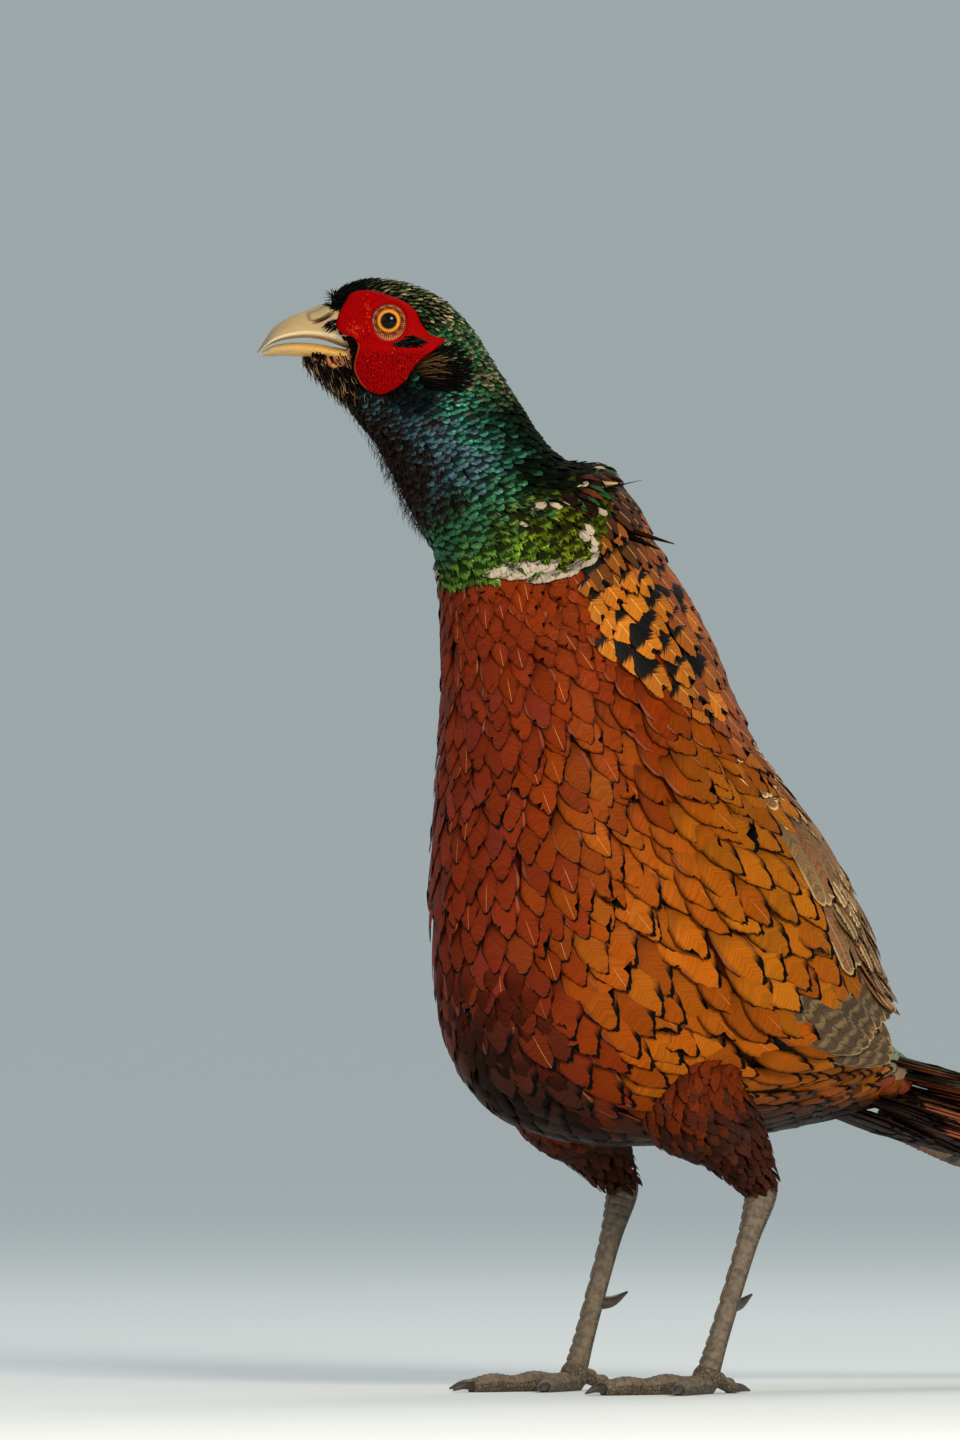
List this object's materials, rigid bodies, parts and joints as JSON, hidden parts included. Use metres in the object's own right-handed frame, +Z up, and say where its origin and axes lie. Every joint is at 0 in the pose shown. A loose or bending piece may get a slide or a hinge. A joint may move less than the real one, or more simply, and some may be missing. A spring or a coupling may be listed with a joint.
{
  "type": "common pheasant",
  "caption": "Life-size male game bird standing upright on both feet, head turned to one side, wings folded, long pointed tail held low behind.",
  "frame": {"origin": "middle of the model's footprint, on the floor under both feet", "axes": "+Z up, the body faces -X and the tail points to +X, the bird's left is -Y"},
  "size_m": [0.711, 0.1374, 0.4133],
  "materials": {
    "breast_feather": "copper-maroon contour feathers",
    "neck_feather": "glossy green-blue scaled feathers",
    "crown_feather": "dark bronze-green short feathers",
    "wing_feather": "brown and buff vanes",
    "tail_feather": "olive-buff vanes with dark bars",
    "thigh_feather": "dark brown short feathers",
    "bill_horn": "pale horn",
    "face_skin": "bare red pimpled skin",
    "eye": "wet glossy amber iris with black pupil",
    "leg_scale": "grey-brown scaled skin",
    "claw_horn": "dark horn"
  },
  "bodies": {
    "root": {"bill_lower": "bill_horn", "bill_upper": "bill_horn", "claw_hind_left": "claw_horn", "claw_hind_right": "claw_horn", "claw_inner_left": "claw_horn", "claw_inner_right": "claw_horn", "claw_middle_left": "claw_horn", "claw_middle_right": "claw_horn", "claw_outer_left": "claw_horn", "claw_outer_right": "claw_horn", "eye_left": "eye", "eye_right": "eye", "face_skin_left": "face_skin", "face_skin_right": "face_skin", "foot_left": "leg_scale", "foot_right": "leg_scale", "head": "crown_feather", "neck": "neck_feather", "shank_left": "leg_scale", "shank_right": "leg_scale", "spur_left": "claw_horn", "spur_right": "claw_horn", "tail": "tail_feather", "thigh_left": "thigh_feather", "thigh_right": "thigh_feather", "torso": "breast_feather", "wing_left": "wing_feather", "wing_right": "wing_feather"}
  },
  "joints": []
}
